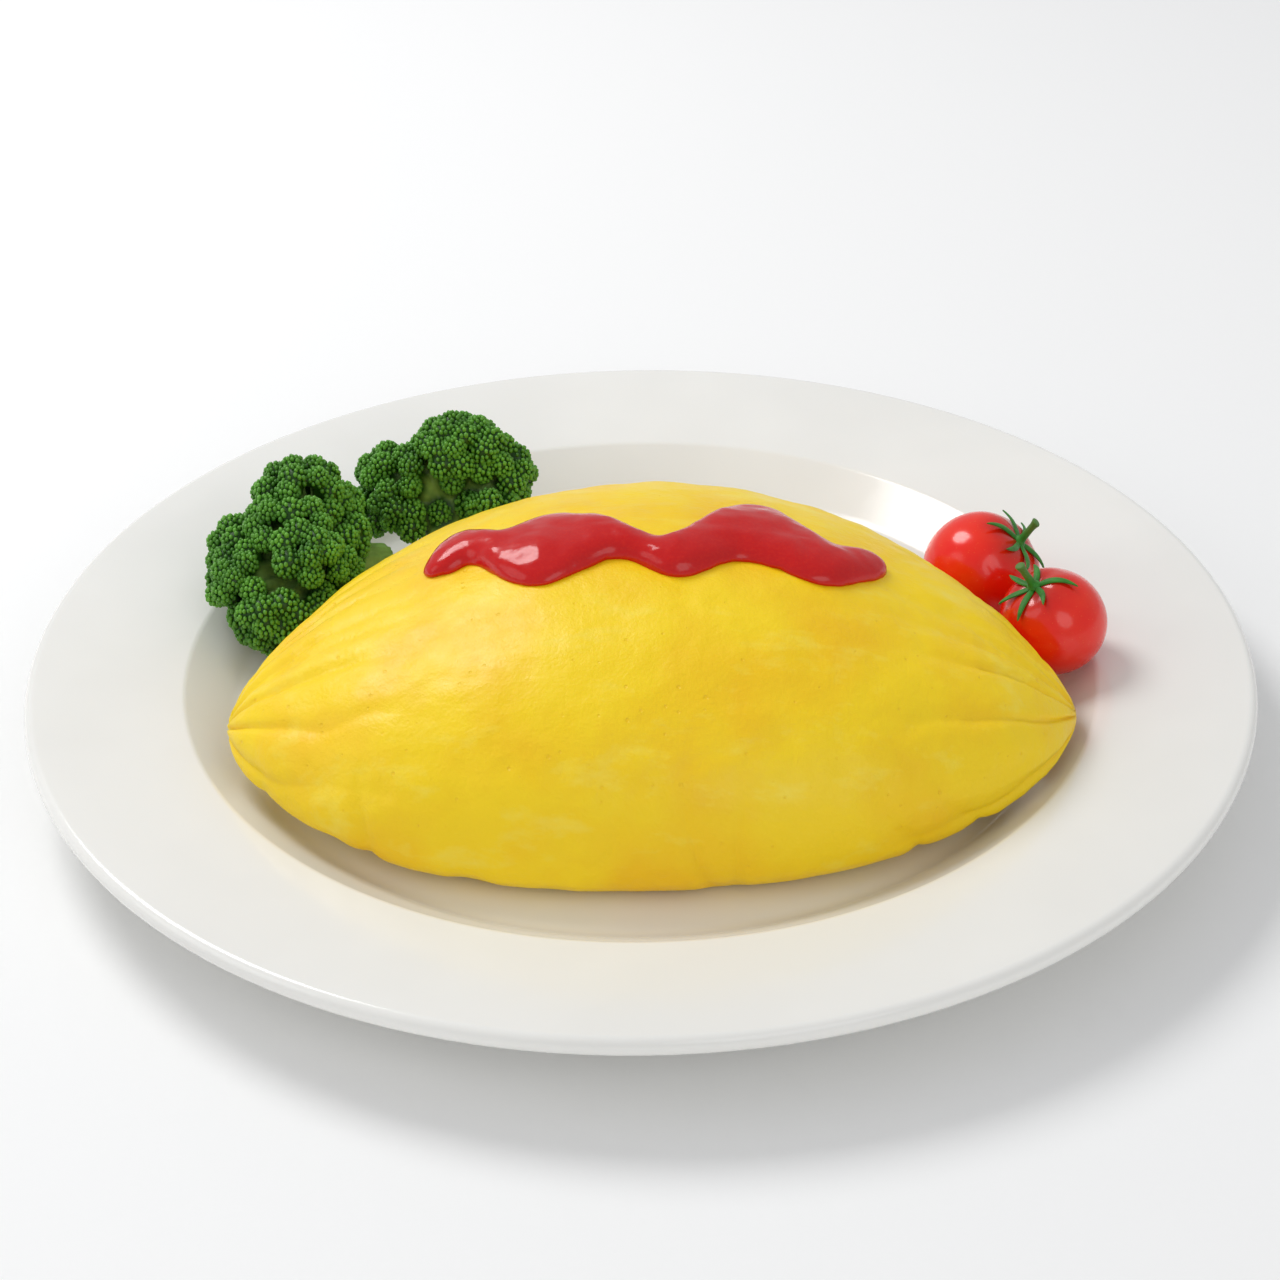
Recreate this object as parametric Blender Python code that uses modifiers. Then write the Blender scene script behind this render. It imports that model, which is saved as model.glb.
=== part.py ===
"""Omurice: a leaf-shaped omelette over rice on a round rimmed plate, with a wave of tomato ketchup along its
crest, two broccoli florets behind its left end and two small tomatoes behind its right end.

The frame is metres, +Z up. The origin is the centre of the foot ring, on the table.
+X runs along the omelette and +Y points away from the diner, towards the garnish.
"""

import math

import bmesh
import bpy
from mathutils import Matrix, Vector
from mathutils.bvhtree import BVHTree

MM = 0.001
GAP = 0.3 * MM  # left between pieces that touch

# The plate, as radii and heights above the table
PLATE_RADIUS = 135 * MM
PLATE_HEIGHT = 21 * MM
RIM_INNER_RADIUS = 101 * MM  # the shoulder, where the rim turns down into the well
RIM_RISE = 4.5 * MM
RIM_THICKNESS = 4.2 * MM
FLOOR_RADIUS = 89 * MM
FLOOR_HEIGHT = 8 * MM
BASE_THICKNESS = 4.8 * MM
FOOT_OUTER_RADIUS = 80 * MM
FOOT_WIDTH = 8 * MM
PLATE_STEPS = 48

# The omelette
OMELETTE_CENTRE = Vector((2 * MM, -17.6 * MM))
OMELETTE_TURN = math.radians(1.2)
OMELETTE_HALF_LENGTH = 91.3 * MM
OMELETTE_HALF_WIDTH = 63 * MM
OMELETTE_HEIGHT = 50 * MM  # above the floor of the well
OMELETTE_BEND = 13.5 * MM  # how far the tips lie in front of the middle
BELLY_HEIGHT = 10 * MM  # where the side bulges most, at the middle
TIP_HEIGHT = 12 * MM  # the same at the tips, which lie up the wall of the well

# The ketchup, as stations along X in mm: place, middle across the omelette, half width there
KETCHUP_THICKNESS = 4 * MM
KETCHUP_STATIONS = (
    (-46, -18.5, 4.5),
    (-40.5, -14, 8),
    (-35, -13.5, 6),
    (-28, -20.5, 8.5),
    (-20, -19, 14.5),
    (-13, -18.5, 11.5),
    (-5, -19.5, 6),
    (1, -23, 4.5),
    (6, -26.5, 5.5),
    (12.5, -21.5, 9),
    (20, -14.5, 11),
    (28, -13.5, 13.5),
    (35, -19.5, 11),
    (40.5, -22.5, 7.5),
    (46, -20, 6),
    (53, -16.5, 4.5),
)

# The garnish in mm. A lobe of broccoli is its centre and radius. A stalk runs from its cut end to the crown.
STALK_RADIUS = 5
BRANCH_RADIUS = 3
CORE_RADIUS = 6
LEFT_STALK = ((-61, 47, 13.8), (-76, 35, 22))
LEFT_LOBES = (
    (-80, 28, 31, 12),
    (-78, 38, 35, 11.5),
    (-81, 33, 32, 8.5),
    (-90, 26, 27, 8.5),
    (-93, 30, 30.5, 5.5),
    (-90, 17, 27, 8),
    (-83.5, 11.5, 22, 8.7),
    (-79, 14, 22, 9.5),
    (-73, 25, 25, 9.5),
    (-70, 33, 29, 8),
    (-76, 20, 31, 9.5),
    (-88, 38, 25, 8),
    (-71.5, 44, 30, 7.5),
)
RIGHT_STALK = ((-46, 48, 12.5), (-46, 58, 24))
RIGHT_LOBES = (
    (-43.5, 61, 35.5, 10),
    (-58.5, 63, 27.5, 9.5),
    (-51, 60, 31.5, 8),
    (-33.5, 60, 30, 9),
    (-38, 60.5, 36.5, 8),
    (-46, 70, 28, 10.5),
    (-63, 59, 22, 6.5),
    (-36, 68, 28, 8.5),
    (-56.5, 56, 25.5, 7.5),
    (-53, 53, 22, 6),
    (-35, 52, 27, 7),
)
# A tomato is its centre, its radius and the way its stem points.
BACK_TOMATO = ((78.6, 25.4, 22.8), 13.6, (0.68, -0.20, 0.71))
FRONT_TOMATO = ((91.3, -1.9, 25.6), 12.1, (-0.51, -0.10, 0.86))
DENT_CLEARANCE = 1.6 * MM  # between the front tomato and the side of the egg that it dents
SEPALS = 6
SEPAL_LENGTH = 7.5 * MM
CALYX_HUB = 1.7 * MM
CALYX_THICKNESS = 1.0 * MM
STEM_RADIUS = 1.0 * MM
STEM_LENGTH = 7 * MM


def clear_scene():
    for old in list(bpy.data.objects):
        bpy.data.objects.remove(old)


def new_collection(name):
    made = bpy.data.collections.new(name)
    bpy.context.scene.collection.children.link(made)
    return made


def new_material(name, colour, roughness, metallic=0.0):
    """A Principled BSDF in one linear colour."""
    made = bpy.data.materials.new(name)
    made.use_nodes = True
    shader = made.node_tree.nodes["Principled BSDF"]
    shader.inputs["Base Color"].default_value = (*colour, 1.0)
    shader.inputs["Roughness"].default_value = roughness
    shader.inputs["Metallic"].default_value = metallic
    return made


def add_object(name, mesh, material, collection):
    mesh.shade_smooth()
    mesh.set_sharp_from_angle(angle=math.radians(40))
    mesh.materials.append(material)
    made = bpy.data.objects.new(name, mesh)
    collection.objects.link(made)
    return made


def mesh_from(name, bm):
    bmesh.ops.recalc_face_normals(bm, faces=bm.faces)
    mesh = bpy.data.meshes.new(name)
    bm.to_mesh(mesh)
    bm.free()
    return mesh


# ---------------------------------------------------------------------------------------------------- plate


def rounded(corners):
    """The points of an outline with its corners rounded. A corner is (radius, height, fillet, segments)."""
    points = [Vector(corners[0][:2])]
    for before, corner, after in zip(corners, corners[1:], corners[2:]):
        at, fillet, segments = Vector(corner[:2]), corner[2], corner[3]
        back = (Vector(before[:2]) - at).normalized()
        ahead = (Vector(after[:2]) - at).normalized()
        half = back.angle(ahead) / 2
        start = back * (fillet / math.tan(half))
        end = ahead * (fillet / math.tan(half))
        centre = (back + ahead).normalized() * (fillet / math.sin(half))
        for i in range(segments + 1):
            spoke = (start - centre).lerp(end - centre, i / segments)
            points.append(at + centre + spoke.normalized() * fillet)
    points.append(Vector(corners[-1][:2]))
    return points


def plate_corners():
    shoulder = PLATE_HEIGHT - RIM_RISE
    under = FLOOR_HEIGHT - BASE_THICKNESS
    foot_inner = FOOT_OUTER_RADIUS - FOOT_WIDTH
    lip = RIM_THICKNESS / 2 - 0.2 * MM
    return [
        (0, FLOOR_HEIGHT, 0, 0),
        (FLOOR_RADIUS, FLOOR_HEIGHT, 9 * MM, 3),
        (RIM_INNER_RADIUS, shoulder, 4 * MM, 3),
        (PLATE_RADIUS, PLATE_HEIGHT, lip, 3),
        (PLATE_RADIUS, PLATE_HEIGHT - RIM_THICKNESS, lip, 3),
        (RIM_INNER_RADIUS + 2 * MM, shoulder - RIM_THICKNESS, 7 * MM, 2),
        (FLOOR_RADIUS + 2 * MM, under, 6 * MM, 2),
        (FOOT_OUTER_RADIUS + 1 * MM, under, 0.8 * MM, 1),
        (FOOT_OUTER_RADIUS, 0, 0.8 * MM, 1),
        (foot_inner, 0, 0.8 * MM, 1),
        (foot_inner - 1 * MM, under, 0.8 * MM, 1),
        (0, under, 0, 0),
    ]


def well_height(radius):
    """The height of the plate's upper face at this distance from its centre, with the corners left square."""
    foot = FLOOR_RADIUS - 4 * MM
    share = min(max((radius - foot) / (RIM_INNER_RADIUS - foot), 0.0), 1.0)
    return FLOOR_HEIGHT + share * (PLATE_HEIGHT - RIM_RISE - FLOOR_HEIGHT)


def make_plate(collection, glaze):
    """A turned profile that runs from the middle of the well out over the rim and back under to the foot."""
    profile = [(point.x, 0, point.y) for point in rounded(plate_corners())]
    edges = [(i, i + 1) for i in range(len(profile) - 1)]
    mesh = bpy.data.meshes.new("plate")
    mesh.from_pydata(profile, edges, [])
    plate = add_object("plate", mesh, glaze, collection)
    screw = plate.modifiers.new("turn", "SCREW")
    screw.steps = screw.render_steps = PLATE_STEPS
    screw.use_merge_vertices = True
    screw.merge_threshold = 0.01 * MM
    return plate


# ------------------------------------------------------------------------------------- omelette and ketchup


def omelette_point(along, turn):
    """A point of its skin. along runs from -1 at the left tip to 1, and turn starts at the back edge."""
    inside = 1 - abs(along) ** 2.2
    half_width = OMELETTE_HALF_WIDTH * inside**0.68
    swell = (1 - abs(along) ** 1.87) ** 0.69
    belly = BELLY_HEIGHT + (TIP_HEIGHT - BELLY_HEIGHT) * abs(along) ** 3
    across, up = math.cos(turn), math.sin(turn)
    if up >= 0:
        height = belly + (OMELETTE_HEIGHT - BELLY_HEIGHT) * swell * up
    else:
        across = math.copysign(abs(across) ** (2 / 3), across)
        height = belly - 1.5 * BELLY_HEIGHT * swell * abs(up) ** (2 / 3)
    x = along * OMELETTE_HALF_LENGTH
    y = half_width * across - OMELETTE_BEND * along**2
    place = Matrix.Rotation(OMELETTE_TURN, 2) @ Vector((x, y)) + OMELETTE_CENTRE
    lowest = well_height(place.length) + GAP
    return Vector((place.x, place.y, max(FLOOR_HEIGHT + height, lowest)))


def beside(tomato, point):
    """The point, moved sideways out of a tomato that leans into the soft egg."""
    centre = Vector(tomato[0]) * MM
    clear = tomato[1] * MM + DENT_CLEARANCE
    square = clear**2 - (point.z - centre.z) ** 2
    away = (point - centre).to_2d()
    if square <= away.length_squared:
        return point
    away = away.normalized() * math.sqrt(square)
    return Vector((centre.x + away.x, centre.y + away.y, point.z))


def pole_share(vertex):
    """How far a vertex of a unit sphere lies from one pole to the other, from -1 to 1 by angle."""
    return 2 * math.acos(max(-1.0, min(1.0, -vertex.co.z))) / math.pi - 1


def make_omelette(collection, egg):
    """A sphere drawn out into a leaf shape, whose underside lies on the floor and wall of the well."""
    bm = bmesh.new()
    bmesh.ops.create_uvsphere(bm, u_segments=34, v_segments=28, radius=1)
    for vertex in bm.verts:
        turn = math.atan2(vertex.co.y, vertex.co.x)
        along = 0.6 * pole_share(vertex) + 0.4 * vertex.co.z
        vertex.co = beside(FRONT_TOMATO, omelette_point(along, turn))
    return add_object("omelette", mesh_from("omelette", bm), egg, collection)


def between(stations, at):
    """The middle and half width of a band at this place, on a smooth curve through its stations."""
    last = len(stations) - 2
    i = max(n for n in range(last + 1) if stations[n][0] <= at or n == 0)
    points = [Vector(stations[min(max(n, 0), last + 1)]) for n in range(i - 1, i + 3)]
    share = (at - points[1].x) / (points[2].x - points[1].x)
    ahead = (points[2] - points[0]) / (points[2].x - points[0].x)
    after = (points[3] - points[1]) / (points[3].x - points[1].x)
    width = points[2].x - points[1].x
    square, cube = share**2, share**3
    at_point = points[1] * (2 * cube - 3 * square + 1) + points[2] * (3 * square - 2 * cube)
    at_point += ahead * width * (cube - 2 * square + share) + after * width * (cube - square)
    return at_point.y, at_point.z


def make_ketchup(collection, sauce, omelette):
    """A thick band with round ends, laid over the crest of the omelette."""
    skin = BVHTree.FromPolygons(
        [vertex.co for vertex in omelette.data.vertices], [face.vertices for face in omelette.data.polygons]
    )
    first, last = KETCHUP_STATIONS[0][0], KETCHUP_STATIONS[-1][0]
    bm = bmesh.new()
    bmesh.ops.create_uvsphere(bm, u_segments=12, v_segments=34, radius=1)
    for vertex in bm.verts:
        turn = math.atan2(vertex.co.y, vertex.co.x)
        share = 0.75 * pole_share(vertex) + 0.25 * vertex.co.z
        at = first + (last - first) * (share + 1) / 2
        middle, half_width = between(KETCHUP_STATIONS, at)
        rounding = math.sqrt(max(0.0, 1 - abs(share) ** 14))
        y = (middle + half_width * rounding * math.cos(turn)) * MM
        hit = skin.ray_cast(Vector((at * MM, y, 1)), Vector((0, 0, -1)))[0]
        rise = KETCHUP_THICKNESS * rounding * max(0.0, math.sin(turn)) ** 0.8
        vertex.co = hit + Vector((0, 0, 1.5 * GAP + rise))
    return add_object("ketchup", mesh_from("ketchup", bm), sauce, collection)


# -------------------------------------------------------------------------------------------------- garnish


def tapered(start, end, start_radius, end_radius, sides):
    """A closed cone from one point to another, in mm."""
    start, end = Vector(start), Vector(end)
    bm = bmesh.new()
    bmesh.ops.create_cone(
        bm,
        cap_ends=True,
        segments=sides,
        radius1=start_radius * MM,
        radius2=end_radius * MM,
        depth=(end - start).length * MM,
    )
    turn = Vector((0, 0, 1)).rotation_difference(end - start).to_matrix().to_4x4()
    bm.transform(Matrix.Translation((start + end) / 2 * MM) @ turn)
    return bm


def crown_reach(direction, middle, lobes):
    """How far a crown reaches from its middle this way, which is to the far side of the outermost lobe."""
    reach = CORE_RADIUS
    for x, y, z, radius in lobes:
        offset = Vector((x, y, z)) - middle
        ahead = direction.dot(offset)
        depth = ahead**2 - offset.length_squared + radius**2
        if depth > 0:
            reach = max(reach, ahead + math.sqrt(depth))
    return reach


def crown(lobes):
    """One round body whose skin follows every lobe."""
    middle = sum((Vector(lobe[:3]) for lobe in lobes), Vector()) / len(lobes)
    bm = bmesh.new()
    bmesh.ops.create_icosphere(bm, subdivisions=4, radius=1)
    for vertex in bm.verts:
        direction = vertex.co.normalized()
        vertex.co = (middle + direction * crown_reach(direction, middle, lobes)) * MM
    return bm


def make_floret(name, stalk, lobes, green, collection):
    """A cut stalk that forks into branches and ends in a crown of round lobes."""
    helpers = new_collection(name + "_helpers")
    helpers.hide_render = True
    foot, top = stalk
    fork = Vector(foot).lerp(Vector(top), 0.6)
    shapes = [crown(lobes)]
    for lobe in lobes[::3]:
        shapes.append(tapered(fork, lobe[:3], BRANCH_RADIUS, BRANCH_RADIUS, 7))
    for i, shape in enumerate(shapes):
        helper = add_object(f"{name}_helper_{i}", mesh_from(f"{name}_helper_{i}", shape), green, helpers)
        helper.hide_render = True
        helper.display_type = "WIRE"
    body = mesh_from(name, tapered(foot, top, STALK_RADIUS, 1.3 * STALK_RADIUS, 12))
    floret = add_object(name, body, green, collection)
    union = floret.modifiers.new("crown", "BOOLEAN")
    union.operation = "UNION"
    union.solver = "EXACT"
    union.operand_type = "COLLECTION"
    union.collection = helpers
    return floret


def tomato_reach(radius, angle):
    """The distance of a tomato's skin from its centre, at this angle from the stem."""
    dimple = 0.13 * math.exp(-((angle / 0.34) ** 2))
    blossom_end = 0.05 * math.exp(-(((math.pi - angle) / 0.5) ** 2))
    return radius * (1 - dimple - blossom_end)


def stem_frame(centre, axis):
    turn = Vector((0, 0, 1)).rotation_difference(Vector(axis)).to_matrix().to_4x4()
    return Matrix.Translation(Vector(centre) * MM) @ turn


def on_tomato(radius, angle, around, lift):
    """A point this far outside the skin, with the stem along +Z and the tomato's centre at the origin."""
    reach = tomato_reach(radius, angle) + lift
    flat = reach * math.sin(angle)
    return Vector((flat * math.cos(around), flat * math.sin(around), reach * math.cos(angle)))


def make_tomato(name, tomato, skin, collection):
    """A round fruit with a dimple where the stem joins."""
    centre, radius, axis = tomato
    bm = bmesh.new()
    bmesh.ops.create_uvsphere(bm, u_segments=20, v_segments=13, radius=1)
    for vertex in bm.verts:
        angle = math.acos(max(-1.0, min(1.0, vertex.co.z)))
        around = math.atan2(vertex.co.y, vertex.co.x)
        vertex.co = on_tomato(radius * MM, angle, around, 0)
    bm.transform(stem_frame(centre, axis))
    return add_object(name, mesh_from(name, bm), skin, collection)


def calyx_rings():
    """From the end of the stem to the middle of the underside: share of the reach, height over skin."""
    top = GAP + CALYX_THICKNESS
    return [
        (0, top + STEM_LENGTH),
        (0, top + STEM_LENGTH),
        (0, top),
        (0.45, top),
        (0.8, top + 0.4 * MM),
        (1, top + 0.4 * MM),
        (0.95, GAP + 0.4 * MM),
        (0.5, GAP),
        (0, GAP),
    ]


def make_calyx(name, tomato, green, collection):
    """A star of narrow sepals lying on the tomato, with the stub of the stem standing in its middle."""
    centre, radius, axis = tomato
    rings = calyx_rings()
    bm = bmesh.new()
    bmesh.ops.create_uvsphere(bm, u_segments=4 * SEPALS, v_segments=len(rings) - 1, radius=1)
    for vertex in bm.verts:
        ring = round(math.acos(max(-1.0, min(1.0, vertex.co.z))) / math.pi * (len(rings) - 1))
        share, lift = rings[ring]
        around = math.atan2(vertex.co.y, vertex.co.x)
        sepal = abs(math.cos(SEPALS * around / 2)) ** 2.5
        hub = STEM_RADIUS if ring in (1, 2) else 0
        reach = hub + share * (CALYX_HUB + (SEPAL_LENGTH - CALYX_HUB) * sepal)
        vertex.co = on_tomato(radius * MM, reach / (radius * MM), around, lift)
    bm.transform(stem_frame(centre, axis))
    return add_object(name, mesh_from(name, bm), green, collection)


def main():
    clear_scene()
    dish = new_collection("omurice")
    glaze = new_material("white_glazed_porcelain", (0.83, 0.83, 0.80), 0.12)
    egg = new_material("cooked_egg", (0.95, 0.68, 0.02), 0.45)
    sauce = new_material("tomato_ketchup", (0.55, 0.02, 0.02), 0.2)
    broccoli = new_material("boiled_broccoli", (0.05, 0.14, 0.02), 0.6)
    tomato_skin = new_material("tomato_skin", (0.78, 0.03, 0.01), 0.15)
    calyx_green = new_material("tomato_calyx", (0.01, 0.22, 0.01), 0.5)
    make_plate(dish, glaze)
    omelette = make_omelette(dish, egg)
    make_ketchup(dish, sauce, omelette)
    make_floret("broccoli_left", LEFT_STALK, LEFT_LOBES, broccoli, dish)
    make_floret("broccoli_right", RIGHT_STALK, RIGHT_LOBES, broccoli, dish)
    make_tomato("tomato_back", BACK_TOMATO, tomato_skin, dish)
    make_tomato("tomato_front", FRONT_TOMATO, tomato_skin, dish)
    make_calyx("tomato_back_calyx", BACK_TOMATO, calyx_green, dish)
    make_calyx("tomato_front_calyx", FRONT_TOMATO, calyx_green, dish)


main()
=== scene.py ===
"""Omurice on a plate: the fine pieces, finishes, light and camera, built round the fixed frame.

The frame is metres, +Z up, with the plate standing on the table at z = 0. +X runs along the omelette and
+Y points away from the diner.
"""

import math
import random

import bpy
from bpy.props import FloatProperty, FloatVectorProperty, IntProperty, PointerProperty
from mathutils import Matrix, Vector, noise
from mathutils.bvhtree import BVHTree
from mathutils.kdtree import KDTree


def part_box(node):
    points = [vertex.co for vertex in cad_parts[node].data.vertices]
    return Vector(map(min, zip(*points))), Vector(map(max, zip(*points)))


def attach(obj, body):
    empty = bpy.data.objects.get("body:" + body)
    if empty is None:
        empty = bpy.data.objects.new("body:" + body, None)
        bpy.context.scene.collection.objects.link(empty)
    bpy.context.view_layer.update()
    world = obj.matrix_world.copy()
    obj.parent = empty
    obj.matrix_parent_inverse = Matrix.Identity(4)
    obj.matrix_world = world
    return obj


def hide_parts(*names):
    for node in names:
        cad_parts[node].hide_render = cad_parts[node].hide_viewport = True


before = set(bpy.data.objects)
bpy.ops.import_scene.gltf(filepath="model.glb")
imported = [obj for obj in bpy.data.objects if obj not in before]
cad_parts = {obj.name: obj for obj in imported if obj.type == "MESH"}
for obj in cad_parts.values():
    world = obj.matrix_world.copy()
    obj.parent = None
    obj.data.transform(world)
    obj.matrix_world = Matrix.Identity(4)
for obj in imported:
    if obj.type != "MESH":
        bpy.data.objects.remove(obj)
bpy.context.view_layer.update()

bl_info = {
    "name": "Omurice plate",
    "version": (1, 0, 0),
    "blender": (4, 5, 0),
    "location": "View3D > Sidebar > Omurice",
    "description": "Builds a plated omurice with ketchup, broccoli and tomatoes round a packed frame",
    "category": "Add Mesh",
}

MM = 0.001
PLATE_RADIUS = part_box("plate")[1].x
OMELETTE_LOW, OMELETTE_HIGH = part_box("omelette")
WELL_FLOOR = 8 * MM
RIM_HEIGHT = 21 * MM
UNDERSIDE = 3.2 * MM  # height of the plate's underside over the table
FOOT_WIDTH = 8 * MM
FOOT_FILLET = 0.8 * MM
TURNS = 160  # steps that the plate is spun in
OMELETTE_BEND = 13.5 * MM  # how far its tips lie in front of its middle
BELLY_HEIGHT = 12 * MM  # over the floor of the well, where its side bulges most
LUMP_WIDTH = 26 * MM
SMALL_LUMP_WIDTH = 9 * MM
GRAIN_LENGTH, GRAIN_WIDTH = 6.5 * MM, 4.5 * MM
GATHERS = 2.9  # how closely the gathers lie round the tips
GATHER_WAVE = 18 * MM
PLEAT_SPACING, PLEAT_HEIGHT, PLEAT_DEPTH = 15 * MM, 40 * MM, 1.1 * MM
STALK_RADII = (5 * MM, 5.6 * MM)  # at the cut end and at the fork
BRANCH_RADII = (2.2 * MM, 1.2 * MM)  # at the fork and in the head
TRIES = 9000  # places tried for a head on each crown
HEAD_RADII = (2.6, 3.5)  # least and greatest, in mm
HEAD_STANDS_OUT = 0.55 * MM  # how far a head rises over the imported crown
BARE_STALK = 12.5 * MM  # no head is nearer than this to the cut end
VOXEL = 0.55 * MM  # of the skin that joins the stalk, its branches and the flesh of the heads
SEPALS = 6
FAR = 30 * MM  # well outside a tomato


# ------------------------------------------------------------------------------------------------- settings


def linear(hex_colour):
    """An sRGB hex colour as linear red, green, blue."""
    values = [int(hex_colour[i : i + 2], 16) / 255 for i in (1, 3, 5)]
    return tuple(v / 12.92 if v <= 0.04045 else ((v + 0.055) / 1.055) ** 2.4 for v in values)


def length(name, description, millimetres):
    return FloatProperty(
        name=name, description=description, default=millimetres * MM, unit="LENGTH", precision=5
    )


def angle(name, description, degrees):
    return FloatProperty(
        name=name, description=description, default=math.radians(degrees), subtype="ANGLE"
    )


def colour(name, description, hex_colour):
    return FloatVectorProperty(
        name=name, description=description, default=linear(hex_colour), subtype="COLOR", min=0, max=1
    )


class PlateSettings(bpy.types.PropertyGroup):
    shoulder_radius: length("Shoulder radius", "Where the rim turns down into the well", 101)
    floor_radius: length("Floor radius", "Where the wall of the well meets its floor", 89)
    rim_rise: length("Rim rise", "How far the edge stands above the shoulder", 4.5)
    rim_thickness: length("Rim thickness", "Thickness of the rim at its edge", 4.2)
    foot_radius: length("Foot radius", "Outer radius of the foot ring", 80)
    glaze: colour("Glaze", "Colour of the glazed porcelain", "#f3f2ed")
    bare: colour("Bare foot", "Colour of the unglazed foot ring", "#d9d1c2")


class OmeletteSettings(bpy.types.PropertyGroup):
    fold_depth: length("Fold depth", "Depth of the gathers that run into the two tips", 1.3)
    lump_height: length("Lump height", "Height of the soft lumps that the rice makes", 0.9)
    grain_height: length("Grain height", "Height of the small bumps of single grains of rice", 0.16)
    bright: colour("Bright egg", "The set egg where it is thick", "#ffd90c")
    pale: colour("Pale egg", "The streaks of white in the egg", "#ffe75a")
    deep: colour("Deep egg", "Deeper patches and the pin-holes", "#fbc905")


class KetchupSettings(bpy.types.PropertyGroup):
    fullness: length("Fullness", "How far the sauce bulges out all round", 0.4)
    sink: length("Sink", "How far the sauce sits into the skin of the egg", 0.35)
    ripple: length("Ripple", "Height of the ripples that squeezing leaves", 0.35)
    sauce: colour("Sauce", "Colour of thick ketchup", "#c60b0d")
    thin: colour("Thin sauce", "Colour where the sauce thins out at its edge", "#d01c0c")


class BroccoliSettings(bpy.types.PropertyGroup):
    head_spacing: length("Head spacing", "Distance between the small heads of a floret", 4.9)
    bud_size: length("Bud size", "Width of one flower bud", 1.15)
    buds_per_head: IntProperty(
        name="Buds per head", description="Buds on each small head", default=44, min=8
    )
    # Buds blend from dark to bright partly at random and partly as painted light: buds that face out from
    # their head lean towards bright, buds round its side towards dark.
    dark: colour("Dark buds", "Buds deep in the crown", "#2a600a")
    bright: colour("Bright buds", "Buds on the outside of the crown", "#6fb33a")
    stem: colour("Stem", "Peeled stalk and branches", "#8bb35c")


class TomatoSettings(bpy.types.PropertyGroup):
    red: colour("Ripe skin", "The skin over most of the fruit", "#f01c05")
    shoulder: colour("Shoulder", "The skin round the stem", "#b51507")
    leaf: colour("Sepal", "The sepals and the foot of the stem", "#2f8a1d")
    stalk: colour("Stem", "The stub of the stem", "#4d7a2a")
    sepal_length: length("Sepal length", "Length of a sepal along the fruit", 7.6)
    sepal_width: length("Sepal width", "Width of a sepal at its widest", 2.0)
    stem_length: length("Stem length", "Length of the stub of the stem", 6.6)


class StageSettings(bpy.types.PropertyGroup):
    elevation: angle("Elevation", "Height of the view over the table", 32.4)
    roll: angle("Roll", "Turn of the view", 0.8)
    distance: length("Distance", "From the lens to the middle of the plate", 600)
    lens: FloatProperty(name="Lens", description="Focal length in mm", default=75.85)
    floor: colour("Floor", "The table top", "#fbfbfa")


class OmuriceSettings(bpy.types.PropertyGroup):
    plate: PointerProperty(type=PlateSettings)
    omelette: PointerProperty(type=OmeletteSettings)
    ketchup: PointerProperty(type=KetchupSettings)
    broccoli: PointerProperty(type=BroccoliSettings)
    tomato: PointerProperty(type=TomatoSettings)
    stage: PointerProperty(type=StageSettings)


# --------------------------------------------------------------------------------------------- mesh helpers


def only(obj):
    """Selects this object alone and makes it the active one."""
    bpy.ops.object.select_all(action="DESELECT")
    obj.select_set(True)
    bpy.context.view_layer.objects.active = obj


def edit_all(obj):
    only(obj)
    bpy.ops.object.mode_set(mode="EDIT")
    bpy.ops.mesh.select_all(action="SELECT")


def leave_edit():
    bpy.ops.object.mode_set(mode="OBJECT")


def named_active(name):
    """The object that an operator has just added, under its own name."""
    made = bpy.context.object
    made.name = made.data.name = name
    return made


def fix_place(obj):
    """Puts the object's place, turn and size into its mesh."""
    only(obj)
    bpy.ops.object.transform_apply(location=True, rotation=True, scale=True)


def apply_modifier(obj, kind, **settings):
    only(obj)
    modifier = obj.modifiers.new(kind.lower(), kind)
    for key, value in settings.items():
        setattr(modifier, key, value)
    bpy.ops.object.modifier_apply(modifier=modifier.name)


def subdivide(obj, levels):
    apply_modifier(obj, "SUBSURF", levels=levels, render_levels=levels)


def copy_of(node_name, name):
    """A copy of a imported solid, with its loose triangles merged and paired into four-sided faces."""
    made = bpy.data.objects.new(name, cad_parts[node_name].data.copy())
    made.data.name = name
    bpy.context.scene.collection.objects.link(made)
    made.data.materials.clear()
    edit_all(made)
    bpy.ops.mesh.remove_doubles(threshold=0.001 * MM)
    bpy.ops.mesh.tris_convert_to_quads(face_threshold=math.radians(60), shape_threshold=math.radians(60))
    leave_edit()
    return made


def join(objects, name):
    only(objects[0])
    for other in objects:
        other.select_set(True)
    bpy.ops.object.join()
    return named_active(name)


def outward(obj):
    """Turns every face outwards."""
    edit_all(obj)
    bpy.ops.mesh.normals_make_consistent(inside=False)
    leave_edit()


def surface_tree(obj):
    faces = [tuple(face.vertices) for face in obj.data.polygons]
    return BVHTree.FromPolygons([vertex.co.copy() for vertex in obj.data.vertices], faces)


def smoothstep(low, high, value):
    share = min(max((value - low) / (high - low), 0.0), 1.0)
    return share * share * (3 - 2 * share)


def finish_piece(obj, material, slot, *nodes):
    """Shades the piece smooth, gives it its finish and hangs it on the frame."""
    only(obj)
    bpy.ops.object.shade_smooth()
    obj.data.materials.clear()
    obj.data.materials.append(material)
    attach(obj, "root")
    if nodes:
        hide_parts(*nodes)
    return obj


# ----------------------------------------------------------------------------------------- material helpers


def new_material(name):
    """A material, its node tree, its Principled shader and the output that gives the place in the object."""
    made = bpy.data.materials.new(name)
    made.use_nodes = True
    tree = made.node_tree
    place = tree.nodes.new("ShaderNodeTexCoord").outputs["Object"]
    return made, tree, tree.nodes["Principled BSDF"], place


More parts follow.
